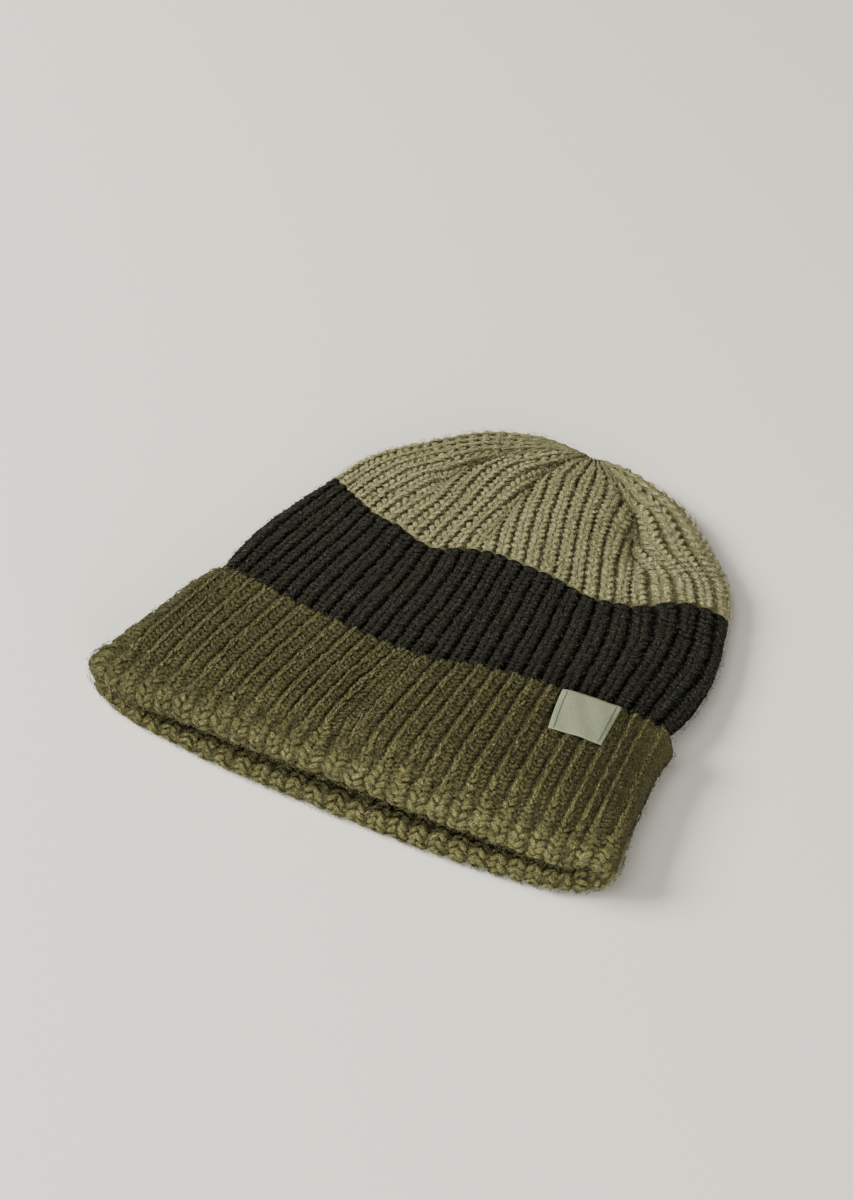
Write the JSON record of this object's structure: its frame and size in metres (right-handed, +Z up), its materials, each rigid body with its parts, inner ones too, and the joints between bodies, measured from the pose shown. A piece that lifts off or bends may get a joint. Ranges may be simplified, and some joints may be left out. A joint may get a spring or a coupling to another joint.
{
  "type": "knitted beanie",
  "caption": "Chunky rib-knit beanie with a turned-up cuff, a dark band, a darted crown and a bare woven tag, lying flat with its head opening free.",
  "frame": {"origin": "on the surface that the beanie lies on, below the middle of its box", "axes": "+Z up from the surface, +Y from the rim towards the gathered top, +X to the label's side"},
  "size_m": [0.215, 0.217, 0.0309],
  "materials": {
    "crown_knit": "sand-coloured thick rib knit, fuzzy",
    "band_knit": "charcoal thick rib knit, fuzzy",
    "cuff_knit": "olive thick rib knit, reverse side out",
    "label_weave": "light grey woven tape, bare"
  },
  "bodies": {
    "root": {"crown": "crown_knit", "band": "band_knit", "cuff": "cuff_knit", "label": "label_weave"}
  },
  "joints": []
}
